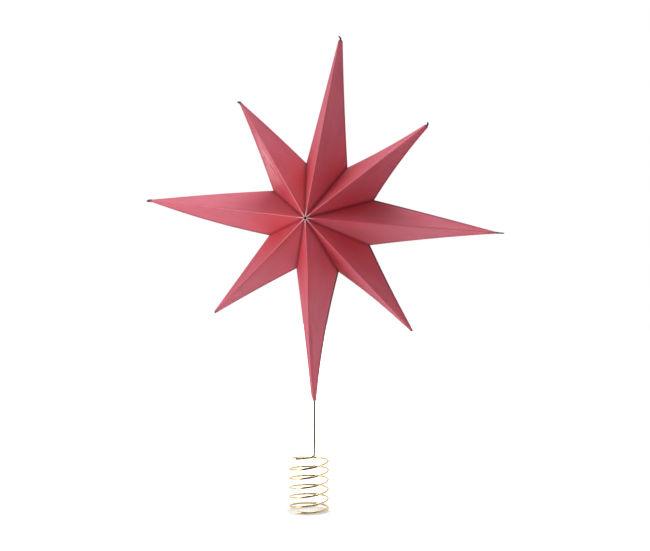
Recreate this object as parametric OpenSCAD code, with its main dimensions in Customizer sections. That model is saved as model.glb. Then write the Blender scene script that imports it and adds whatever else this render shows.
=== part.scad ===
// Eight-pointed folded paper star on a coiled spring wire foot, for the top of a tree.
// Millimetres, +Z up. The origin is on the coil's axis at its bottom mouth, and the star faces -Y.
// Each point is one folded sheet, hollow inside, glued face to face to its two neighbours.

/* [Star] */
// Reach of the four long points, from the star's centre to the tip
long_reach = 115; // [90:1:160]
// Reach of the four short points
short_reach = 91.7; // [70:0.1:120]
// Reach of the notches between the points
notch_reach = 36.5; // [28:0.1:42]
// Height of the ridges' inner ends above the star's middle plane, front and back
half_depth = 41; // [25:1:55]
// How far the whole star leans to the right, in degrees
star_lean = 5.3; // [0:0.1:9]
// Width across the small hole that the ridge ends leave at the centre
hub_hole_d = 2.2; // [1.6:0.1:4]

/* [Paper] */
// Thickness of the sheet
paper_t = 0.3; // [0.2:0.05:0.45]
// Width of the open slit between a sheet's two edges at the hub
slit_w = 0.35; // [0.2:0.05:0.5]
// Width of the curled tails at the tips, from front to back
tail_w = 1.2; // [0.6:0.1:1.4]

/* [Hand-made scatter, clockwise from the top point] */
// Turn of each point away from its even place, in degrees, positive to the left
point_turn = [-1, 0.6, 0.7, 0.2, 3.1, 1, -0.4, -3.9];
// Length of each point over or under its reach
point_stretch = [-1.7, -2.5, -2.4, 0.9, 2.2, 1.8, 1.3, -0.2];
// Turn of the glued face on the clockwise side of each point, in degrees
seam_turn = [-0.5, 1, -0.7, 1.3, 0.8, 0.7, -1.2, -1.6];
// Width of each blunt tip, from side to side. The bottom point closes on the wire instead.
tip_width = [2.7, 2.5, 0.8, 1.5, 0, 1.8, 1.8, 1.3];
// Length of the tail at each tip, none where it is 0
tail_length = [2.8, 2.3, 4.4, 0, 0, 1.2, 2.8, 2.3];
// How far each tail curls to the left as it runs out, in degrees
tail_curl = [75, 85, 5, 0, 0, 60, 30, 95];

/* [Spring wire] */
// Thickness of the wire
wire_d = 1.4; // [1:0.1:2]
// Width of the coil from wire centre to wire centre
coil_d = 25; // [18:0.5:32]
// Rise of the wire in one turn
coil_pitch = 6.04; // [4:0.1:8]
// Turns from the cut end to where the wire turns inwards
coil_turns = 5.85; // [3.85:1:7.85]
// Direction of the cut end, in degrees from +X towards +Y
coil_start = -112; // [-180:1:180]
// Tilt of the lowest turn to the left, in degrees
turn_tilt = 3.3; // [0:0.1:5]
// How much more each further turn tilts, in degrees
tilt_gain = 0.49; // [0:0.01:0.6]
// How much the last stretch above the cut end is squeezed flat
end_squeeze = 2.6; // [0:0.1:3]
// Radius that the top turn has shrunk to where the wire turns inwards
top_turn_r = 10.4; // [9:0.1:12]
// Radius of the turn inwards
inner_bend_r = 4; // [3:0.5:5]
// Radius of the bend up into the stem
foot_bend_r = 2.5; // [2:0.5:4]
// Rise of the wire between the turn inwards and the bend up
foot_rise = 0.6; // [0:0.1:2]
// Place of the stem to the right of the coil's axis
stem_x = 3.8; // [0:0.1:6]
// Length of bare stem between the bend and the paper
stem_show = 34.4; // [15:0.1:80]
// Length of stem held inside the bottom point
stem_inside = 88; // [30:1:88]
// Gap around the wire where the paper closes on it
wire_gap = 0.05; // [0.03:0.01:0.1]

/* [Hidden] */

sheet_colour = "#b9495c";
wire_colour = "#e0bd72";

points = 8;
step = 360 / points;
bottom_point = 4;
wire_r = wire_d / 2;
hub_r = hub_hole_d / 2;
grip_r = wire_r + wire_gap;
// The slit stops this far short of the ridges' inner ends.
slit_end = 2;
// A tail is the fold's four layers pressed together, and starts inside the tip's end face.
tail_t = 4 * paper_t;
tail_root = paper_t / 2;

// Directions in the star's own plane, x to the right and y up, as seen from the front.
function point_angle(i) = 90 - step * i - star_lean + point_turn[i];
function seam_angle(i) = 90 - step * (i + 0.5) - star_lean + seam_turn[i];
function seam_before(i) = i == 0 ? seam_angle(points - 1) + 360 : seam_angle(i - 1);
function reach(i) = (i % 2 == 0 ? long_reach : short_reach) + point_stretch[i];
function middle_angle(i) = (seam_angle(i) + seam_before(i)) / 2;
function half_slice(i) = (seam_before(i) - seam_angle(i)) / 2;
function tip_half(i) = i == bottom_point ? grip_r + paper_t : tip_width[i] / 2;
function polar(r, a) = [r * cos(a), r * sin(a)];
function at(r, a) = [r * cos(a), r * sin(a), 0];

// Path of the wire's centre line, t turns up from the cut end. The turns lean towards
// tilt_heading, and the last half turn shrinks and runs level.
tilt_heading = 14;
squeeze_turns = 0.45;
level_turns = 0.5;
ring_step = 15;
coil_r = coil_d / 2;
function squeeze(t) = end_squeeze * pow(max(0, 1 - t / squeeze_turns), 1.5);
function levelled(t) = max(0, 1 - (coil_turns - t) / level_turns);
function turn_r(t) = coil_r - (coil_r - top_turn_r) * levelled(t);
function turn_angle(t) = coil_start + 360 * t;
function tilt(t) = (turn_tilt + tilt_gain * t) * (1 - levelled(t));
function coil_rise(t) =
    coil_pitch * t + squeeze(t) + turn_r(t) * cos(turn_angle(t) - tilt_heading) * tan(tilt(t));
base_z = wire_r - coil_rise(0);
function coil_point(t) =
    [turn_r(t) * cos(turn_angle(t)), turn_r(t) * sin(turn_angle(t)), base_z + coil_rise(t)];

// The turn inwards is an arc that leaves the coil at end_angle and runs straight to the stem.
end_angle = turn_angle(coil_turns);
end_z = base_z + coil_rise(coil_turns);
arc_centre = polar(turn_r(coil_turns) - inner_bend_r, end_angle);
to_stem = [stem_x, 0] - arc_centre;
straight = sqrt(to_stem * to_stem - inner_bend_r * inner_bend_r);
heading = atan2(to_stem[1], to_stem[0]) + atan(inner_bend_r / straight);
arc_from = end_angle - 360 * floor((end_angle - heading + 90) / 360 + 1);
arc_sweep = heading - 90 - arc_from;
foot_z = end_z + foot_rise;
arc_length = inner_bend_r * arc_sweep * PI / 180;
arc_rise = foot_rise * arc_length / (arc_length + straight);
arc_rings = ceil(arc_sweep / ring_step);
function arc_point(k) = concat(
    arc_centre + polar(inner_bend_r, arc_from + arc_sweep * k / arc_rings),
    [end_z + arc_rise * k / arc_rings]);

// The bend up starts foot_bend_r short of the stem.
bend_rings = 6;
function bend_point(k) =
    let (a = 90 * k / bend_rings, back = foot_bend_r * (1 - sin(a)))
    concat([stem_x, 0] - polar(back, heading), [foot_z + foot_bend_r * (1 - cos(a))]);
stem_z = foot_z + foot_bend_r;
tip_z = stem_z + stem_show;
stem_top_z = tip_z + stem_inside;

coil_rings = ceil(360 * coil_turns / ring_step);
wire_path = concat(
    [for (k = [0:coil_rings]) coil_point(coil_turns * k / coil_rings)],
    [for (k = [1:arc_rings]) arc_point(k)],
    [for (k = [0:bend_rings]) bend_point(k)],
    [[stem_x, 0, tip_z], [stem_x, 0, stem_top_z]]);
// A level direction square to the wire at each ring of the path
wire_sides = concat(
    [for (k = [0:coil_rings]) concat(polar(1, turn_angle(coil_turns * k / coil_rings)), [0])],
    [for (k = [1:arc_rings]) concat(polar(1, arc_from + arc_sweep * k / arc_rings), [0])],
    [for (k = [0:bend_rings + 2]) concat(polar(1, heading - 90), [0])]);

// The star stands on the stem: its centre is worked out from the tip of its bottom point.
tip_offset = polar(reach(bottom_point), point_angle(bottom_point));
star_centre = [stem_x - tip_offset[0], 0, tip_z - tip_offset[1]];

module in_star_plane() {
    translate(star_centre) rotate([90, 0, 0]) children();
}

// A tube or strip along a path: one outline per ring, capped at both ends.
module sweep(path, sides, outline) {
    n = len(path);
    m = len(outline);
    tangents = [for (k = [0:n - 1])
        let (d = path[min(k + 1, n - 1)] - path[max(k - 1, 0)]) d / norm(d)];
    rings = [for (k = [0:n - 1])
        let (up = cross(tangents[k], sides[k]), u = up / norm(up))
        for (p = outline) path[k] + sides[k] * p[0] + u * p[1]];
    walls = [for (k = [0:n - 2]) for (j = [0:m - 1])
        let (a = k * m + j, b = k * m + (j + 1) % m)
        each [[b + m, b, a], [a + m, b + m, a]]];
    caps = [[for (j = [0:m - 1]) j], [for (j = [m - 1:-1:0]) (n - 1) * m + j]];
    polyhedron(points = rings, faces = concat(walls, caps));
}

// A flat face is [outward direction, distance]. Its corners are where three faces meet.
function face_through(a, b, c, inset) =
    let (n = cross(b - a, c - a), u = n / norm(n)) [u, u * a - inset];
function meet(p, q, r) =
    (p[1] * cross(q[0], r[0]) + q[1] * cross(r[0], p[0]) + r[1] * cross(p[0], q[0]))
    / (p[0] * cross(q[0], r[0]));

// How far past the blunt tip a point's four outer faces would run out to nothing
function over(i) =
    let (half_w = notch_reach * sin(half_slice(i)), length = reach(i) - notch_reach * cos(half_slice(i)))
    tip_half(i) * length / (half_w - tip_half(i));

// The form of one point with every face moved in by inset: four outer faces, the two glued ones,
// a narrow one at the hub and the end face at the tip.
module folded_form(i, inset, end) {
    apex = at(reach(i) + over(i), point_angle(i));
    left_notch = at(notch_reach, seam_before(i));
    right_notch = at(notch_reach, seam_angle(i));
    front = [0, 0, half_depth];
    front_left = face_through(apex, left_notch, front, inset);
    front_right = face_through(apex, front, right_notch, inset);
    back_left = face_through(apex, -front, left_notch, inset);
    back_right = face_through(apex, right_notch, -front, inset);
    glued_left = [at(1, seam_before(i) + 90), -inset];
    glued_right = [at(1, seam_angle(i) - 90), -inset];
    hub = [-at(1, middle_angle(i)), -hub_r - inset];
    polyhedron(
        points = [
            meet(front_left, front_right, end), meet(back_left, back_right, end),
            meet(front_left, back_left, end), meet(front_right, back_right, end),
            meet(front_left, back_left, glued_left), meet(front_right, back_right, glued_right),
            meet(front_left, front_right, hub), meet(back_left, back_right, hub),
            meet(front_left, glued_left, hub), meet(front_right, glued_right, hub),
            meet(back_left, glued_left, hub), meet(back_right, glued_right, hub)],
        faces = [
            [6, 8, 4, 2, 0], [5, 9, 6, 0, 3], [4, 10, 7, 1, 2], [7, 11, 5, 3, 1],
            [8, 10, 4], [11, 9, 5], [9, 11, 7, 10, 8, 6], [0, 2, 1, 3]]);
}

// One folded sheet, hollow inside, between its outer and inner end faces.
module sheet(i, outer_end, inner_end) {
    difference() {
        folded_form(i, 0, outer_end);
        folded_form(i, paper_t, inner_end);
        slit(i);
    }
}

// The sheet's two free edges leave a slit along the hub.
module slit(i) {
    slit_h = 2 * (half_depth - slit_end);
    rotate(middle_angle(i))
        translate([0, -slit_w / 2, -slit_h / 2])
            cube([hub_r + 2 * paper_t, slit_w, slit_h]);
}

// The crushed end of the fold, curling away from the tip.
module tail(i) {
    n = 6;
    length = tail_root + tail_length[i];
    function chord(s, turn) = turn == 0 ? s : s * sin(turn / 2) / (turn / 2 * PI / 180);
    function along(k) = at(chord(length * k, tail_curl[i] * k), tail_curl[i] * k / 2);
    corner = [tail_w, tail_t] / 2;
    translate(at(reach(i) - tail_root, point_angle(i)))
        rotate(point_angle(i))
            sweep([for (k = [0:n]) along(k / n)], [for (k = [0:n]) [0, 0, 1]],
                [-corner, [corner[0], -corner[1]], corner, [-corner[0], corner[1]]]);
}

module paper_point(i) {
    outwards = at(1, point_angle(i));
    color(sheet_colour) in_star_plane() {
        sheet(i, [outwards, reach(i)], [outwards, reach(i) - paper_t]);
        if (tail_length[i] > 0) tail(i);
    }
}

// The bottom point is cut off level and open, where it is just wide enough to close on the stem.
module gripping_point(i) {
    level = -tip_offset[1];
    run_out = 1;
    color(sheet_colour) difference() {
        in_star_plane() sheet(i, [[0, -1, 0], level], [[0, -1, 0], level + run_out]);
        translate([stem_x, 0, tip_z - run_out])
            cylinder(r = grip_r, h = stem_inside, $fn = 24);
    }
}

module spring_wire() {
    sides = 12;
    color(wire_colour)
        sweep(wire_path, wire_sides, [for (j = [0:sides - 1]) polar(wire_r, 360 * (j + 0.5) / sides)]);
}

paper_point(0);  // point_top
paper_point(1);  // point_top_right
paper_point(2);  // point_right
paper_point(3);  // point_bottom_right
gripping_point(bottom_point);  // point_bottom
paper_point(5);  // point_bottom_left
paper_point(6);  // point_left
paper_point(7);  // point_top_left
spring_wire();
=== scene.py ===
import math
import bmesh
import bpy
from mathutils import Matrix, Vector


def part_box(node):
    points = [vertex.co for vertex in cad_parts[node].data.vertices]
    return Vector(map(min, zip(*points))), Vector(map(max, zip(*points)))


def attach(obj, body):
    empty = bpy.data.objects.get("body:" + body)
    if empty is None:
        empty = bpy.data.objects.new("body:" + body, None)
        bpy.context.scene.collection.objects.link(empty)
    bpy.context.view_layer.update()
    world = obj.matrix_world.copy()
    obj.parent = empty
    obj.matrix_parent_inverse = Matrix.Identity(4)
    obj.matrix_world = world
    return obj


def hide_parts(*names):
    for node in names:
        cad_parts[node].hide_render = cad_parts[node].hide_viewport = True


# Folded paper star on a brass spring wire. Metres, Z up, the star faces -Y.
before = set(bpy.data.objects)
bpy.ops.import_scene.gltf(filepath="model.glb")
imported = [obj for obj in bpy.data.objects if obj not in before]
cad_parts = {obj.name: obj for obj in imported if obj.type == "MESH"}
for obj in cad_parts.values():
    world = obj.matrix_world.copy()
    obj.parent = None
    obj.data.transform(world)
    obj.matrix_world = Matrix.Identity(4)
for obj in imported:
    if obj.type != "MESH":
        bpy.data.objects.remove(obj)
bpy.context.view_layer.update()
mm = 0.001
nearlyEqual = 1e-6  # metres
aboveZero = 1e-9    # keeps a division from failing


# General helpers

def hexToLinear(hexText):
    # from an sRGB hex value
    channels = [int(hexText[k:k + 2], 16) / 255 for k in (1, 3, 5)]
    linear = [c / 12.92 if c <= 0.04045 else ((c + 0.055) / 1.055) ** 2.4 for c in channels]
    return (*linear, 1.0)


def addNode(tree, kind, settings=None, links=None):
    # settings go to a socket where one has that name or number, else to the node itself
    node = tree.nodes.new(kind)
    for name, value in (settings or {}).items():
        if isinstance(name, int) or name in node.inputs:
            node.inputs[name].default_value = value
        else:
            setattr(node, name, value)
    for socket, source in (links or {}).items():
        tree.links.new(source, node.inputs[socket])
    return node


def clearSelection():
    if bpy.context.object and bpy.context.object.mode != "OBJECT":
        bpy.ops.object.mode_set(mode="OBJECT")
    bpy.ops.object.select_all(action="DESELECT")


def pick(piece, kind, test):
    # leaves the piece in edit mode with only the parts that pass the test selected
    bpy.context.view_layer.objects.active = piece
    bpy.ops.object.mode_set(mode="EDIT")
    bpy.ops.mesh.select_mode(type=kind)
    bpy.ops.mesh.select_all(action="DESELECT")
    mesh = bmesh.from_edit_mesh(piece.data)
    parts = {"VERT": mesh.verts, "EDGE": mesh.edges, "FACE": mesh.faces}[kind]
    parts.ensure_lookup_table()
    for part in parts:
        if test(part):
            part.select_set(True)
    mesh.select_flush_mode()
    bmesh.update_edit_mesh(piece.data)


def leaveEdit():
    bpy.ops.object.mode_set(mode="OBJECT")


# Paper points, numbered clockwise from the top one. A point is built along +Z with its front ridge
# towards -Y, so that its clockwise side, as seen from the front, is +X.

star = {
    "names": ["top", "top_right", "right", "bottom_right", "bottom", "bottom_left", "left", "top_left"],
    "longReach": 115 * mm,
    "shortReach": 91.7 * mm,
    "notchReach": 36.5 * mm,
    "halfDepth": 41 * mm,
    "lean": 5.3,
    "stemX": 3.8 * mm,
    "turn": [-1, 0.6, 0.7, 0.2, 3.1, 1, -0.4, -3.9],
    "stretch": [-1.7, -2.5, -2.4, 0.9, 2.2, 1.8, 1.3, -0.2],
    "seamTurn": [-0.5, 1, -0.7, 1.3, 0.8, 0.7, -1.2, -1.6],
    "tipWidth": [2.7, 2.5, 0.8, 1.5, 2.1, 1.8, 1.8, 1.3],
    "bottomPoint": 4,
    "paper": 0.3 * mm,
}

# Pairs are for the anticlockwise side and the clockwise side. tipHalf, bow, sag and ridgeShift are in
# millimetres. The sag fades in from the hub and out to the tip.
folds = {
    "creaseShare": 1.4,
    "creaseSteps": 3,
    "rings": 17,
    "strips": 5,
    "hubRadius": 0.9 * mm,
    "slitInsets": (0.22 * mm, 0.04 * mm),
    "glueGap": 0.01 * mm,
    "smoothAngle": 20,
    "tipHalf": [(1.13, 1.59), (1.19, 1.32), (0.3, 0.67), (0.4, 1.1), (1.3, 2.1), (0.83, 0.97),
                (0.8, 0.5), (0.95, 0.35)],
    "bow": [(-0.1, -0.39), (-0.94, -1.25), (0.22, -0.67), (-0.61, -1.28), (-1.86, -0.35), (-0.41, 0),
            (1.54, 0.5), (-0.57, 0.39)],
    "sag": [(0.35, 0.5), (0.3, 0.4), (0.3, 0.3), (0.3, 0.35), (0.3, 0.5), (0.4, 0.3), (0.4, 0.35),
            (0.3, 0.4)],
    "sagFrom": 0.16,
    "sagOver": 0.3,
    "sagOut": 6,
    "ridgeShift": [0, 0, 0, 0, 1.2, 0, 0, 0],
    "facetBand": (0.2, 0.8),
    "hubFaceHalf": 10 * mm,
    "sameWay": 0.999,
    "tubeLength": 3.2 * mm,
    "tubeRadius": 1.25 * mm,
    "boreRadius": 0.75 * mm,
    "tubeRings": 5,
}

# lengths and halves in millimetres, curls in degrees
tails = {
    "length": [2.8, 2.3, 4.4, 0, 0, 1.2, 2.8, 2.3],
    "curl": [75, 85, 5, 0, 0, 60, 30, 95],
    "half": [0.55, 0.6, 0.42, 0.4, 0, 0.6, 0.65, 0.6],
    "domeSteps": 4,
    "domeMost": 1.8,
    "domeLeast": 0.2,
    "domeShare": 1.4,
    "steps": 7,
    "taper": 0.95,
    "endTaper": 0.55,
}


def pointAngle(i):
    return 90 - 45 * i - star["lean"] + star["turn"][i]


def seamAngle(i):
    turnsBack = 360 if i < 0 else 0
    return 90 - 45 * (i % 8 + 0.5) - star["lean"] + star["seamTurn"][i % 8] + turnsBack


def reachOf(i):
    base = star["longReach"] if i % 2 == 0 else star["shortReach"]
    return base + star["stretch"][i] * mm


def starCentre():
    # the star stands on the stem, where the bottom point's cut end is
    i = star["bottomPoint"]
    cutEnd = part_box("point_bottom")[0].z
    angle = math.radians(pointAngle(i))
    return Vector((star["stemX"] - reachOf(i) * math.cos(angle), 0, cutEnd - reachOf(i) * math.sin(angle)))


def clamp(value):
    return min(1, max(0, value))


class PointForm:
    # the sizes of one point, and its half width and half depth at each height
    def __init__(self, i):
        self.i = i
        self.grips = i == star["bottomPoint"]
        self.reach = reachOf(i)
        self.tilt = math.radians(pointAngle(i) - 90)
        self.turns = {-1: math.radians(seamAngle(i - 1) - pointAngle(i)),
                      1: math.radians(pointAngle(i) - seamAngle(i))}
        halfSlice = (self.turns[-1] + self.turns[1]) / 2
        notchWidth = star["notchReach"] * math.sin(halfSlice)
        length = self.reach - star["notchReach"] * math.cos(halfSlice)
        tipHalf = star["tipWidth"][i] / 2 * mm
        self.apex = self.reach + tipHalf * length / (notchWidth - tipHalf)

    def notch(self, side):
        turn = self.turns[side]
        return star["notchReach"] * math.sin(turn), star["notchReach"] * math.cos(turn)

    def width(self, z, side):
        notchX, notchZ = self.notch(side)
        return notchX * (self.apex - z) / (self.apex - notchZ)

    def depth(self, z):
        return star["halfDepth"] * (self.apex - z) / self.apex

    def foldedWidth(self, z, side):
        # straight from the tip to the notch, and bowed by hand in between
        notchX, notchZ = self.notch(side)
        share = (self.reach - z) / (self.reach - notchZ)
        if share > 1:
            return self.width(z, side)
        pair = 0 if side < 0 else 1
        tipHalf = folds["tipHalf"][self.i][pair] * mm
        bow = folds["bow"][self.i][pair] * mm
        return tipHalf + (notchX - tipHalf) * share + bow * bump(share)


def bump(share):
    return 4 * share * (1 - share)


def cutBy(piece, place, outward, fill, clear=True):
    # slices the piece and takes away what lies outwards of the plane
    pick(piece, "FACE", lambda face: True)
    bpy.ops.mesh.bisect(plane_co=place, plane_no=outward, use_fill=fill, clear_outer=clear,
                        threshold=nearlyEqual / 10)
    leaveEdit()


def makeCone(form, inset):
    # a four-sided cone with rounded folds, cut into rings and strips
    height = form.apex if form.grips else form.reach - domeHeight(form.i) - inset
    clearSelection()
    bpy.ops.mesh.primitive_cone_add(
        vertices=4, radius1=star["halfDepth"], radius2=max(form.depth(height), 0.0),
        depth=height, end_fill_type="NGON", location=(0, 0, height / 2))
    piece = bpy.context.object
    bpy.ops.object.transform_apply(location=True, rotation=True, scale=True)
    for side in (-1, 1):
        pick(piece, "VERT", lambda v: v.co.x * side > nearlyEqual)
        bpy.ops.transform.resize(
            value=(form.width(0, side) / star["halfDepth"], 1, 1), center_override=(0, 0, 0))

    def runsAlong(edge):
        return abs(edge.verts[0].co.z - edge.verts[1].co.z) > height / 2

    def crossesFacet(edge):
        middle = (edge.verts[0].co + edge.verts[1].co) / 2
        level = abs(edge.verts[0].co.z - edge.verts[1].co.z) < nearlyEqual
        low, high = folds["facetBand"]
        return level and low < abs(middle.y) / max(form.depth(middle.z), aboveZero) < high

    pick(piece, "EDGE", runsAlong)
    bpy.ops.mesh.bevel(offset_type="PERCENT", offset_pct=folds["creaseShare"],
                       segments=folds["creaseSteps"], profile=0.5, affect="EDGES", clamp_overlap=False)
    pick(piece, "EDGE", runsAlong)
    bpy.ops.mesh.subdivide(number_cuts=folds["rings"])
    pick(piece, "EDGE", crossesFacet)
    bpy.ops.mesh.subdivide(number_cuts=folds["strips"])
    leaveEdit()
    return piece


def foldByHand(piece, form):
    # bowed side folds, and facets slightly sunk between their folds
    i = form.i
    for v in piece.data.vertices:
        z = v.co.z
        side = -1 if v.co.x < 0 else 1
        share = clamp(abs(v.co.y) / max(form.depth(z), aboveZero))
        width = form.width(z, side)
        folded = form.foldedWidth(z, side)
        if width > aboveZero:
            v.co.x *= folded / width
        along = clamp((form.reach - z) / (form.reach - form.notch(side)[1]))
        v.co.x += folds["ridgeShift"][i] * mm * bump(along) * share
        front = v.co.y < 0
        sag = folds["sag"][i][0 if (side < 0) == front else 1] * mm
        outwards = z / form.reach
        edgeFade = clamp((outwards - folds["sagFrom"]) / folds["sagOver"])
        edgeFade *= clamp((1 - outwards) * folds["sagOut"])
        inward = Vector((-side * form.depth(z), math.copysign(folded, -v.co.y), 0))
        if inward.length > aboveZero:
            v.co += inward.normalized() * sag * bump(share) * edgeFade


def closeOnWire(piece, form):
    # the bottom point's end is pressed round around the wire
    start = form.reach - folds["tubeLength"]
    for k in range(folds["tubeRings"] + 1):
        height = start + folds["tubeLength"] * k / folds["tubeRings"]
        cutBy(piece, (0, 0, height), (0, 0, 1), False, clear=False)
    for v in piece.data.vertices:
        share = clamp((v.co.z - start) / folds["tubeLength"])
        if share > 0:
            around = Vector((v.co.x, v.co.y)).normalized() * folds["tubeRadius"]
            pressed = share * share * (3 - 2 * share)  # eased in and out
            v.co.x += (around.x - v.co.x) * pressed
            v.co.y += (around.y - v.co.y) * pressed


def drawIn(piece, form, inset):
    # makes every cross-section smaller by the sheet's thickness
    for v in piece.data.vertices:
        width = (form.foldedWidth(v.co.z, -1) + form.foldedWidth(v.co.z, 1)) / 2
        depth = max(form.depth(v.co.z), nearlyEqual)
        toFacet = width * depth / math.hypot(width, depth)
        wall = inset
        if form.grips:
            pressed = clamp((v.co.z - form.reach) / folds["tubeLength"] + 1)
            toFacet += (folds["tubeRadius"] - toFacet) * pressed
            wall += (folds["tubeRadius"] - folds["boreRadius"] - inset) * pressed
        size = max(0.1, 1 - wall / toFacet)  # never turned inside out
        v.co.x *= size
        v.co.y *= size


def cutToSlice(piece, form, inset):
    # the two glued faces and the narrow face at the hub, which has the slit between the free edges
    leftOut = Vector((-math.cos(form.turns[-1]), 0, -math.sin(form.turns[-1])))
    rightOut = Vector((math.cos(form.turns[1]), 0, -math.sin(form.turns[1])))
    middleTurn = (form.turns[1] - form.turns[-1]) / 2
    hubOut = -Vector((math.sin(middleTurn), 0, math.cos(middleTurn)))
    cutBy(piece, -leftOut * (folds["glueGap"] + inset), leftOut, True)
    cutBy(piece, -rightOut * (folds["glueGap"] + inset), rightOut, True)
    cutBy(piece, -hubOut * (folds["hubRadius"] + inset), hubOut, True)
    if form.grips:
        levelOut = Matrix.Rotation(form.tilt, 3, "Y") @ Vector((0, 0, -1))
        cutBy(piece, Vector((0, 0, form.reach)), levelOut, False)

    def atHub(face):
        middle = abs(face.calc_center_median().y) < folds["hubFaceHalf"]
        return middle and face.normal.dot(hubOut) > folds["sameWay"]

    pick(piece, "FACE", atHub)
    bpy.ops.mesh.inset(thickness=folds["slitInsets"][1 if inset else 0])
    bpy.ops.mesh.delete(type="FACE")
    leaveEdit()


def makeShell(form, inset):
    piece = makeCone(form, inset)
    foldByHand(piece, form)
    if form.grips:
        closeOnWire(piece, form)
    if inset:
        drawIn(piece, form, inset)
    cutToSlice(piece, form, inset)
    return piece


def makeSheet(form):
    # the sheet is an outer shell and an inner one, joined around the slit and the open end
    inner = makeShell(form, star["paper"])
    pick(inner, "FACE", lambda face: True)
    bpy.ops.mesh.flip_normals()
    leaveEdit()
    piece = makeShell(form, 0)
    inner.select_set(True)
    bpy.ops.object.join()
    for atHub in (True, False):
        pick(piece, "EDGE", lambda e: e.is_boundary and (e.verts[0].co.z < form.reach / 2) == atHub)
        if atHub or form.grips:
            bpy.ops.mesh.bridge_edge_loops()
        leaveEdit()
    return piece


def domeHeight(i):
    height = tails["domeShare"] * star["tipWidth"][i] / 2 + tails["domeLeast"]
    return min(tails["domeMost"], height) * mm


def crushEnd(piece, form):
    # the tip is pressed to a rounded end, and on most points to a tail that curls away
    i = form.i
    left, right = folds["tipHalf"][i]
    height = form.reach - domeHeight(i)

    def isEnd(face):
        return face.calc_center_median().z > height - nearlyEqual and face.normal.z > 0.9

    pick(piece, "FACE", isEnd)
    centre = Vector(((right - left) / 2 * mm, 0, height))
    half = [(left + right) / 2 * mm, form.depth(height)]
    tailHalf = tails["half"][i] * mm
    before = [1, 1]
    for step in range(1, tails["domeSteps"] + 1):
        angle = math.pi / 2 * step / tails["domeSteps"]
        sizes = [(tailHalf + (h - tailHalf) * math.cos(angle)) / h for h in half]
        height = form.reach - domeHeight(i) * (1 - math.sin(angle))
        bpy.ops.mesh.extrude_region_move(TRANSFORM_OT_translate={"value": (0, 0, height - centre.z)})
        centre.z = height
        bpy.ops.transform.resize(
            value=(sizes[0] / before[0], sizes[1] / before[1], 1), center_override=centre)
        before = sizes
    if tails["length"][i] > 0:
        stretch = tails["length"][i] * mm / tails["steps"]
        turnStep = math.radians(tails["curl"][i]) / tails["steps"]
        for step in range(tails["steps"]):
            angle = turnStep * (step + 0.5)
            move = Vector((-math.sin(angle), 0, math.cos(angle))) * stretch
            bpy.ops.mesh.extrude_region_move(TRANSFORM_OT_translate={"value": move})
            centre += move
            bpy.ops.transform.rotate(value=turnStep, orient_axis="Y", center_override=centre)
            size = tails["endTaper"] if step == tails["steps"] - 1 else tails["taper"]
            bpy.ops.transform.resize(value=(size,) * 3, center_override=centre)
    leaveEdit()


def makePoint(i):
    form = PointForm(i)
    piece = makeSheet(form)
    piece.name = "paperPoint_" + star["names"][i]
    if not form.grips:
        crushEnd(piece, form)
    markSheet(piece, form)
    piece.rotation_euler = (0, -form.tilt, 0)
    piece.location = starCentre()
    bpy.ops.object.transform_apply(location=True, rotation=True, scale=True)
    bpy.ops.object.shade_smooth_by_angle(angle=math.radians(folds["smoothAngle"]))
    return piece


# What handling has left on each point, and the light and shade painted on it. Wear is for the ridge
# near the hub, half way out and at the tip: above 0 it is rubbed pale, below 0 it is a dark line. The
# marks for the two side folds are painted shade, where a rounded fold turns away from the light, and
# tone says how much each front facet is painted lighter or, below 0, painted darker, as light and shade
# that the lamps don't give. The red is painted deeper near the notch, as light bounced between facing
# points, and that paint gives way outwards from the notch, and earlier by the ridge.
handling = {
    "wear": [(0.9, 0.5, 0.1), (0.9, 0.35, -0.5), (0.2, -0.35, -0.6), (0.6, 0.15, 0), (0.8, 0.4, 0),
             (0.9, 0.3, 0), (0.8, 0.35, 0.1), (1, 0.55, 0.1)],
    "wearFrom": 0.08,
    "wearBack": 0.3,
    # painted shade along the two side folds, strongest near the notch, where the rounded fold turns from
    # the light
    "foldShade": [(0.1, 0.35), (0.1, 0.45), (1, 0.25), (0.8, 0.1), (1, 0.15), (0.5, 0.1), (0.8, 0.1),
             (0.3, 0.3)],
    "foldShadePower": 0.7,
    # painted light and shade per front facet: above 0 lighter, below 0 darker
    "tone": [(0.1, 0.1), (0.1, -0.3), (0, 0.5), (0, 0.1), (0.4, -0.2), (0.6, -0.1), (0.1, 0.3),
             (-0.5, -0.1)],
    "facetLightPower": 8,
    "scuffPoint": 7,
    "scuffFrom": 0.3,
    "scuffOver": 0.45,
    # painted bounce light: the red is deepest near the notch, and paler outwards and by the ridge
    "bounceFadeFrom": 0.7,
    "bounceFadeOver": 0.95,
    "ridgeBounceFade": 0.3,
    "ridgeBounceFadeFrom": 0.55,
    "ridgeBounceFadeOver": 0.3,
    "hubRim": 1.8 * mm,
    # darker on the crushed tip and tail, over this length
    "tipDark": 1.6 * mm,
}

sheetMarks = ["fromRidge", "fromSide", "fromSeam", "bounceFade", "tone", "wear", "rim", "foldShade", "scuff",
              "tipDark"]

# the UV map's shift in metres for a clockwise facet, a back one and each next point, so that no two
# facets have the same streaks
sheetShift = (0.07, 0.2, 0.3)


def wearAt(i, along):
    near, half, far = handling["wear"][i]
    start = handling["wearFrom"]
    if along < 0.5:
        return near + (half - near) * clamp((along - start) / (0.5 - start))
    return half + (far - half) * clamp((along - 0.5) / 0.5)


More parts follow.
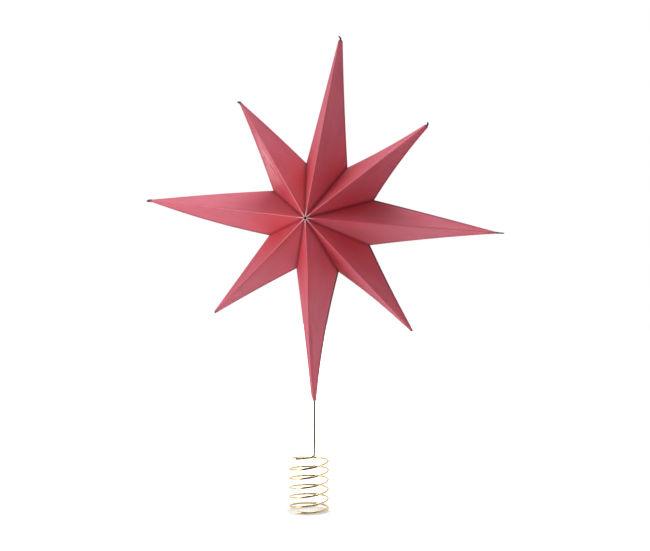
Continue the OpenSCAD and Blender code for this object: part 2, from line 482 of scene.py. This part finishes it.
def markSheet(piece, form):
    # a UV map in metres, across the facet and along the point, and marks for the material to use
    mesh = piece.data
    i = form.i
    mesh.uv_layers.new(name="sheet")
    for name in sheetMarks:
        mesh.attributes.new(name, "FLOAT", "POINT")
    marks = {name: mesh.attributes[name].data for name in sheetMarks}
    sheetMap = mesh.uv_layers["sheet"]
    for v in mesh.vertices:
        z = min(v.co.z, form.reach)
        side = -1 if v.co.x < 0 else 1
        pair = 0 if side < 0 else 1
        front = v.co.y < 0
        turn = form.turns[side]
        share = clamp(abs(v.co.y) / max(form.depth(z), nearlyEqual))
        facet = math.hypot(form.depth(z), form.foldedWidth(z, side))
        along = clamp(z / form.reach)
        fromTip = clamp((form.reach - z) / (form.reach - form.notch(side)[1]))
        # painted bounce light: how far the deeper red of light bounced between facing points has given way
        beyondNotch = clamp((z / form.notch(side)[1] - handling["bounceFadeFrom"]) / handling["bounceFadeOver"])
        nearRidge = handling["ridgeBounceFade"] * clamp(
            (share - handling["ridgeBounceFadeFrom"]) / handling["ridgeBounceFadeOver"])
        # painted light and shade on the front facet, fading out at the ridge
        facetLightHere = handling["tone"][i][pair] * (1 - share ** handling["facetLightPower"])
        scuffHere = bump(clamp((along - handling["scuffFrom"]) / handling["scuffOver"])) * bump(share)
        scuffed = i == handling["scuffPoint"] and side < 0 and front
        # darker on the crushed tip and tail
        tipDark = clamp((v.co.z - form.reach + handling["tipDark"]) / handling["tipDark"])
        here = {
            "fromRidge": (1 - share) * facet,
            "fromSide": share * facet,
            # distance from the valley between two points, where a painted shade line goes
            "fromSeam": abs(z * math.sin(turn) - abs(v.co.x) * math.cos(turn)),
            "bounceFade": beyondNotch + nearRidge * (1 - beyondNotch),
            "tone": facetLightHere if front else 0,
            "wear": wearAt(i, along) if front else handling["wearBack"],
            "rim": clamp(1 - (z - folds["hubRadius"]) / handling["hubRim"]),
            # painted shade along the side fold
            "foldShade": handling["foldShade"][i][pair] * fromTip ** handling["foldShadePower"],
            "scuff": scuffHere if scuffed else 0,
            "tipDark": 0 if form.grips else tipDark,
        }
        for name, value in here.items():
            marks[name][v.index].value = value
    sideShift, backShift, pointShift = sheetShift
    for face in mesh.polygons:
        side = 1 if face.center.x > 0 else -1
        shift = sideShift * side + (backShift if face.center.y > 0 else 0)
        for loop in face.loop_indices:
            v = mesh.vertices[mesh.loops[loop].vertex_index]
            across = marks["fromRidge"][v.index].value * side
            sheetMap.data[loop].uv = (shift + across, v.co.z + pointShift * i)


# Spring wire: a coil that is squeezed at its lower end, levels out at its top, turns in to the stem's
# foot and bends up. Angles are in degrees, and the coil leans towards tiltHeading.

wire = {
    "radius": 0.7 * mm,
    "coilRadius": 12.5 * mm,
    "pitch": 6.04 * mm,
    "turns": 5.85,
    "start": -112,
    "tilt": 3.3,
    "tiltGain": 0.49,
    "tiltHeading": 14,
    "squeeze": 2.6 * mm,
    "squeezeTurns": 0.45,
    "squeezePower": 1.5,
    "levelTurns": 0.5,
    "topRadius": 10.4 * mm,
    "innerBend": 4 * mm,
    "footBend": 2.5 * mm,
    "footRise": 0.6 * mm,
    "stemLength": 122.4 * mm,
    "step": 7.5,
    "bendRings": 10,
    "stemRing": 0.3,
    "roundness": 5,
    "smoothAngle": 40,
}


def wirePath():
    w = wire
    radians = math.radians

    def levelled(t):
        return max(0, 1 - (w["turns"] - t) / w["levelTurns"])

    def radius(t):
        return w["coilRadius"] - (w["coilRadius"] - w["topRadius"]) * levelled(t)

    def angle(t):
        return w["start"] + 360 * t

    def rise(t):
        squeeze = w["squeeze"] * max(0, 1 - t / w["squeezeTurns"]) ** w["squeezePower"]
        lean = (w["tilt"] + w["tiltGain"] * t) * (1 - levelled(t))
        side = radius(t) * math.cos(radians(angle(t) - w["tiltHeading"]))
        return w["pitch"] * t + squeeze + side * math.tan(radians(lean))

    def polar(r, a):
        return Vector((r * math.cos(radians(a)), r * math.sin(radians(a))))

    base = w["radius"] - rise(0)
    rings = math.ceil(360 * w["turns"] / w["step"])
    path = []
    for k in range(rings + 1):
        t = w["turns"] * k / rings
        path.append(Vector((*polar(radius(t), angle(t)), base + rise(t))))

    # turn inwards, straight to the stem
    endAngle = angle(w["turns"])
    endZ = path[-1].z
    centre = polar(radius(w["turns"]) - w["innerBend"], endAngle)
    toStem = Vector((star["stemX"], 0)) - centre
    straight = math.sqrt(toStem.length_squared - w["innerBend"] ** 2)
    heading = math.degrees(math.atan2(toStem.y, toStem.x) + math.atan(w["innerBend"] / straight))
    arcFrom = endAngle - 360 * math.floor((endAngle - heading + 90) / 360 + 1)
    sweep = heading - 90 - arcFrom
    arcLength = w["innerBend"] * radians(sweep)
    arcRise = w["footRise"] * arcLength / (arcLength + straight)
    arcRings = math.ceil(sweep / w["step"])
    for k in range(1, arcRings + 1):
        share = k / arcRings
        place = centre + polar(w["innerBend"], arcFrom + sweep * share)
        path.append(Vector((*place, endZ + arcRise * share)))

    # bend up into the stem
    footZ = endZ + w["footRise"]
    for k in range(w["bendRings"] + 1):
        a = radians(90) * k / w["bendRings"]
        back = polar(w["footBend"] * (1 - math.sin(a)), heading)
        path.append(Vector((star["stemX"] - back.x, -back.y, footZ + w["footBend"] * (1 - math.cos(a)))))
    path.append(path[-1] + Vector((0, 0, w["stemLength"] * w["stemRing"])))
    path.append(Vector((path[-1].x, path[-1].y, footZ + w["footBend"] + w["stemLength"])))
    return path


def makeWire():
    path = wirePath()
    clearSelection()
    line = bpy.data.curves.new("wireLine", "CURVE")
    line.dimensions = "3D"
    line.bevel_depth = wire["radius"]
    line.bevel_resolution = wire["roundness"]
    line.use_fill_caps = True
    spline = line.splines.new("POLY")
    spline.points.add(len(path) - 1)
    for point, place in zip(spline.points, path):
        point.co = (*place, 1)
    piece = bpy.data.objects.new("springWire", line)
    bpy.context.collection.objects.link(piece)
    bpy.context.view_layer.objects.active = piece
    piece.select_set(True)
    bpy.ops.object.convert(target="MESH")
    piece = bpy.context.object
    bpy.ops.object.shade_smooth_by_angle(angle=math.radians(wire["smoothAngle"]))
    return piece


# Paper: thick handmade sheet with long fibres, dyed red, folded and rubbed by hand. The eye gets a
# matt red that is mottled in soft streaks along each point, with pale rubbed ridges. Painted light and
# shade lie over it: a deeper red where two points face each other that stands in for light bounced
# between them, painted shade in the valleys and along the side folds, and facets painted lighter or
# darker.

# Each pattern's width across and length along a point in millimetres, its detail and its shift. The
# fibres' relief is finer than a pixel, so it is drawn coarser.
paperGrain = {
    "fibre": (0.7, 12, 3, 0),
    "patch": (9, 24, 2, 5),
    "warmPatch": (14.4, 31.2, 1, 11),
    "broken": (0.7, 1.75, 2, 17),
    "relief": (2.4, 16, 1, 23),
}

# Colours laid over the dye one after another. Each has the most that it covers, and the patterns or
# marks that say where, with the values at which they start and are full.
paperLayers = [
    # painted bounce light: the red beneath is deeper near the notches, and this paler red covers it
    # outwards
    ("#c55f70", 1, [("bounceFade", 0, 1)]),
    ("#b04a60", 0.45, [("patch", 0.45, 0.7)]),
    ("#c8434c", 0.35, [("warmPatch", 0.5, 0.7)]),
    ("#d0707f", 0.25, [("fibre", 0.5, 0.8)]),
    # painted light and shade: a front facet lighter where tone is above 0, and darker on the next layer
    # where it is below 0
    ("#e290a0", 0.5, [("tone", 0, 1)]),
    ("#8f3240", 0.5, [("tone", 0, -1)]),
    ("#eda9ae", 1, [("scuff", 0, 1), ("fibre", 0.42, 0.6)]),
    # painted shade: a dark line along the valley between two points, where shade falls
    ("#6e1f2c", 0.55, [("fromSeam", 1.5 * mm, 0)]),
    ("#f0b2b6", 0.95, [("fromRidge", 0.6 * mm, 0.2 * mm), ("broken", 0.12, 0.4), ("wear", 0, 1)]),
    ("#42272b", 0.9, [("fromRidge", 0.5 * mm, 0.15 * mm), ("wear", 0, -1)]),
    ("#efbfc0", 1, [("fromRidge", 1 * mm, 0.5 * mm), ("rim", 0, 1)]),
    # painted shade along the side folds, where the rounded fold turns away from the light
    ("#42272b", 1, [("fromSide", 2.3 * mm, 0.9 * mm), ("foldShade", 0, 1)]),
    # darker on the crushed tip and tail
    ("#5e4044", 1, [("tipDark", 0, 1)]),
]

paperLook = {
    # the deep red shows near the notches: the paper's dye, deepened by painted bounce light between facing
    # points
    "dyeAndBounceRed": "#c73a41",
    "roughness": 0.75,
    "specular": 0.2,
    "reliefHeight": 0.3 * mm,
    "reliefStrength": 0.25,
}


def makePaper():
    material = bpy.data.materials.new("dyedHandmadePaper")
    material.use_nodes = True
    tree = material.node_tree
    tree.nodes.clear()
    sheetMap = addNode(tree, "ShaderNodeUVMap", {"uv_map": "sheet"})
    values = {}
    for name, (width, length, detail, shift) in paperGrain.items():
        place = addNode(tree, "ShaderNodeMapping", {
            "Scale": (1 / (width * mm), 1 / (length * mm), 1), "Location": (shift, shift, shift)},
            {"Vector": sheetMap.outputs["UV"]})
        noise = addNode(tree, "ShaderNodeTexNoise", {"Scale": 1.0, "Detail": detail, "Roughness": 0.6},
                        {"Vector": place.outputs["Vector"]})
        values[name] = noise.outputs["Fac"]
    for name in sheetMarks:
        values[name] = addNode(tree, "ShaderNodeAttribute", {"attribute_name": name}).outputs["Fac"]

    base = addNode(tree, "ShaderNodeRGB")
    base.outputs[0].default_value = hexToLinear(paperLook["dyeAndBounceRed"])
    colour = base.outputs[0]
    for hexText, most, places in paperLayers:
        share = None
        for name, low, high in places:
            top = most if share is None else 1.0
            part = addNode(tree, "ShaderNodeMapRange", {"From Min": low, "From Max": high, "To Max": top},
                           {"Value": values[name]}).outputs["Result"]
            if share is None:
                share = part
            else:
                share = addNode(tree, "ShaderNodeMath", {"operation": "MULTIPLY"},
                                {0: share, 1: part}).outputs[0]
        colour = addNode(tree, "ShaderNodeMix", {"data_type": "RGBA", 7: hexToLinear(hexText)},
                         {0: share, 6: colour}).outputs[2]

    relief = addNode(tree, "ShaderNodeBump", {
        "Strength": paperLook["reliefStrength"], "Distance": paperLook["reliefHeight"]},
        {"Height": values["relief"]})
    shader = addNode(tree, "ShaderNodeBsdfPrincipled", {
        "Roughness": paperLook["roughness"], "Specular IOR Level": paperLook["specular"]},
        {"Base Color": colour, "Normal": relief.outputs["Normal"]})
    addNode(tree, "ShaderNodeOutputMaterial", {}, {"Surface": shader.outputs["BSDF"]})
    return material


# Wire: drawn spring wire with a polished brass finish. The eye gets a pale gold with a dark core in
# front, and a stem painted browner and duller above the coil, as painted shade for the stem under the
# star.

wireLook = {
    "brass": "#d0bc92",
    "dull": "#94805c",
    # painted shade: the stem's browner colour under the star
    "stem": "#7c6d5a",
    "stemFrom": 37 * mm,
    "stemTo": 43 * mm,
    "patch": 14 * mm,
    "dullFrom": 0.45,
    "dullTo": 0.75,
    "dullMost": 0.4,
    "roughness": 0.12,
    "dullRoughness": 0.18,
    "stemRoughness": 0.42,
}


def makeBrass():
    look = wireLook
    material = bpy.data.materials.new("polishedBrassSpringWire")
    material.use_nodes = True
    tree = material.node_tree
    tree.nodes.clear()
    place = addNode(tree, "ShaderNodeTexCoord")
    tone = addNode(tree, "ShaderNodeTexNoise", {"Scale": 1 / look["patch"], "Detail": 3.0},
                   {"Vector": place.outputs["Object"]})
    height = addNode(tree, "ShaderNodeSeparateXYZ", {}, {"Vector": place.outputs["Object"]})
    # painted shade on the stem, from the top of the coil upwards
    stem = addNode(tree, "ShaderNodeMapRange", {
        "From Min": look["stemFrom"], "From Max": look["stemTo"]}, {"Value": height.outputs["Z"]})
    share = addNode(tree, "ShaderNodeMapRange", {
        "From Min": look["dullFrom"], "From Max": look["dullTo"], "To Max": look["dullMost"]},
        {"Value": tone.outputs["Fac"]})
    colour = addNode(tree, "ShaderNodeMix", {
        "data_type": "RGBA", 6: hexToLinear(look["brass"]), 7: hexToLinear(look["dull"])},
        {0: share.outputs["Result"]})
    stemColour = addNode(tree, "ShaderNodeMix", {"data_type": "RGBA", 7: hexToLinear(look["stem"])},
                         {0: stem.outputs["Result"], 6: colour.outputs[2]})
    rough = addNode(tree, "ShaderNodeMapRange", {
        "To Min": look["roughness"], "To Max": look["dullRoughness"]}, {"Value": tone.outputs["Fac"]})
    stemRough = addNode(tree, "ShaderNodeMix", {"data_type": "FLOAT", 3: look["stemRoughness"]},
                        {0: stem.outputs["Result"], 2: rough.outputs["Result"]})
    shader = addNode(tree, "ShaderNodeBsdfPrincipled", {"Metallic": 1.0},
                     {"Base Color": stemColour.outputs[2], "Roughness": stemRough.outputs[0]})
    addNode(tree, "ShaderNodeOutputMaterial", {}, {"Surface": shader.outputs["BSDF"]})
    return material


# Camera, lamps, floor and world

studio = {
    "cameraPlace": (221.1 * mm, -843.4 * mm, 188.2 * mm),
    "aim": (10.78 * mm, 0, 151.76 * mm),
    "lens": 75.4,
    "sensor": 36,
    "clip": (0.01, 50),
    "lampAim": (0, 0, 0.17),
    # name, place, size and power
    "lamps": [
        ("nearLeft", (-0.37, -0.32, 0.2), 0.28, 1.1),
        ("lowFront", (0.08, -0.3, 0.03), 0.25, 0.72),
        ("topBack", (0, 0.4, 1.2), 0.6, 9.4),
    ],
    "world": 0.83,
    "floorSize": 3.0,
    "floorTone": "#f2f1ef",
    "shadowInner": 14 * mm,
    "shadowGlow": 0.1,
    "screenRadius": 1.25,
    "screenHeight": 1.6,
    "screenHalfAngle": 48,
    "screenTone": "#2c2c2c",
    "roomTop": 0.8,
    "roomSize": 1.3,
    "clothInner": 32 * mm,
    "clothHeight": 2 * mm,
}


def aimed(thing, aim):
    thing.rotation_euler = (Vector(aim) - thing.location).to_track_quat("-Z", "Y").to_euler()


def makeCamera():
    data = bpy.data.cameras.new("camera")
    data.sensor_width = studio["sensor"]
    data.lens = studio["lens"]
    data.clip_start, data.clip_end = studio["clip"]
    camera = bpy.data.objects.new("camera", data)
    bpy.context.collection.objects.link(camera)
    camera.location = studio["cameraPlace"]
    aimed(camera, studio["aim"])
    bpy.context.scene.camera = camera


def makeLamp(name, place, size, power):
    data = bpy.data.lights.new(name, "AREA")
    data.size = size
    data.energy = power
    lamp = bpy.data.objects.new(name, data)
    bpy.context.collection.objects.link(lamp)
    lamp.location = place
    lamp.visible_camera = False
    lamp.visible_glossy = name != "lowFront"
    aimed(lamp, studio["lampAim"])


def seenAsBackground(tree):
    # camera, mirror and glass rays see the white background
    rays = addNode(tree, "ShaderNodeLightPath")
    first = addNode(tree, "ShaderNodeMath", {"operation": "MAXIMUM"},
                    {0: rays.outputs["Is Camera Ray"], 1: rays.outputs["Is Glossy Ray"]})
    return addNode(tree, "ShaderNodeMath", {"operation": "MAXIMUM"},
                   {0: first.outputs[0], 1: rays.outputs["Is Transmission Ray"]}).outputs[0]


def makeWorld():
    world = bpy.data.worlds.new("studioWhite")
    world.use_nodes = True
    bpy.context.scene.world = world
    tree = world.node_tree
    tree.nodes.clear()
    seen = seenAsBackground(tree)
    strength = addNode(tree, "ShaderNodeMapRange", {"To Min": studio["world"], "To Max": 1.0},
                       {"Value": seen})
    background = addNode(tree, "ShaderNodeBackground", {"Color": (1, 1, 1, 1)},
                         {"Strength": strength.outputs["Result"]})
    addNode(tree, "ShaderNodeOutputWorld", {}, {"Surface": background.outputs["Background"]})


def makeFloor():
    clearSelection()
    bpy.ops.mesh.primitive_plane_add(size=studio["floorSize"], location=(0, 0, 0))
    floor = bpy.context.object
    floor.name = "floor"
    material = bpy.data.materials.new("paleFloor")
    material.use_nodes = True
    tree = material.node_tree
    tree.nodes.clear()
    seen = seenAsBackground(tree)
    place = addNode(tree, "ShaderNodeTexCoord")
    away = addNode(tree, "ShaderNodeVectorMath", {"operation": "LENGTH"}, {0: place.outputs["Object"]})
    # the glow stops short of the wire, so that its shadow shows
    fade = addNode(tree, "ShaderNodeMapRange", {
        "From Min": studio["shadowInner"], "From Max": studio["clothInner"],
        "To Min": studio["shadowGlow"], "To Max": 1.0}, {"Value": away.outputs["Value"]})
    glow = addNode(tree, "ShaderNodeMath", {"operation": "MULTIPLY"}, {0: seen, 1: fade.outputs["Result"]})
    matt = addNode(tree, "ShaderNodeBsdfDiffuse", {"Color": hexToLinear(studio["floorTone"])})
    light = addNode(tree, "ShaderNodeEmission", {"Color": (1, 1, 1, 1)}, {"Strength": glow.outputs[0]})
    both = addNode(tree, "ShaderNodeAddShader", {}, {0: matt.outputs[0], 1: light.outputs[0]})
    addNode(tree, "ShaderNodeOutputMaterial", {}, {"Surface": both.outputs[0]})
    floor.data.materials.append(material)


def makeScreen():
    # a dark curved screen behind the camera, and dark cloth on the floor in front of it, both out of
    # the camera's sight: they keep the front plain and give the polished wire its dark core
    clearSelection()
    bpy.ops.mesh.primitive_cylinder_add(
        vertices=72, radius=studio["screenRadius"], depth=studio["screenHeight"], end_fill_type="NOTHING",
        location=(0, 0, studio["screenHeight"] / 2 + studio["clothHeight"]))
    screen = bpy.context.object
    screen.name = "darkScreen"
    towards = Vector((studio["cameraPlace"][0], studio["cameraPlace"][1])).normalized()
    limit = math.cos(math.radians(studio["screenHalfAngle"]))

    def awayFromCamera(face):
        centre = face.calc_center_median()
        return Vector((centre.x, centre.y)).normalized().dot(towards) < limit

    pick(screen, "FACE", awayFromCamera)
    bpy.ops.mesh.delete(type="FACE")
    lowest = -studio["screenHeight"] / 2 + mm
    pick(screen, "EDGE", lambda e: max(v.co.z for v in e.verts) < lowest)
    bpy.ops.mesh.extrude_region_move()
    inner = studio["clothInner"] / studio["screenRadius"]
    bpy.ops.transform.resize(value=(inner, inner, 1), center_override=(0, 0, 0))
    leaveEdit()
    screen.visible_camera = False
    material = bpy.data.materials.new("darkCloth")
    material.use_nodes = True
    tree = material.node_tree
    tree.nodes.clear()
    cloth = addNode(tree, "ShaderNodeBsdfDiffuse", {"Color": hexToLinear(studio["screenTone"])})
    addNode(tree, "ShaderNodeOutputMaterial", {}, {"Surface": cloth.outputs[0]})
    screen.data.materials.append(material)

    # the dark room above the screen, which only reflections see
    clearSelection()
    bpy.ops.mesh.primitive_uv_sphere_add(
        segments=72, ring_count=24, radius=studio["screenRadius"] * studio["roomSize"])
    room = bpy.context.object
    room.name = "darkRoom"

    def leftOpen(face):
        centre = face.calc_center_median().normalized()
        return centre.z < 0 or (centre.z < studio["roomTop"] and awayFromCamera(face))

    pick(room, "FACE", leftOpen)
    bpy.ops.mesh.delete(type="FACE")
    leaveEdit()
    room.visible_camera = room.visible_diffuse = room.visible_shadow = False
    room.data.materials.append(material)


makeCamera()
makeWorld()
makeFloor()
makeScreen()
for name, place, size, power in studio["lamps"]:
    makeLamp(name, place, size, power)
print("stage: camera, lamps and floor")

paper = makePaper()
for i, name in enumerate(star["names"]):
    piece = makePoint(i)
    piece.data.materials.append(paper)
    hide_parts("point_" + name)
    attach(piece, "root")
    print("stage: paper point", name)

springWire = makeWire()
springWire.data.materials.append(makeBrass())
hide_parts("spring_wire")
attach(springWire, "root")
print("stage: spring wire")

bpy.context.scene.view_settings.view_transform = "Standard"
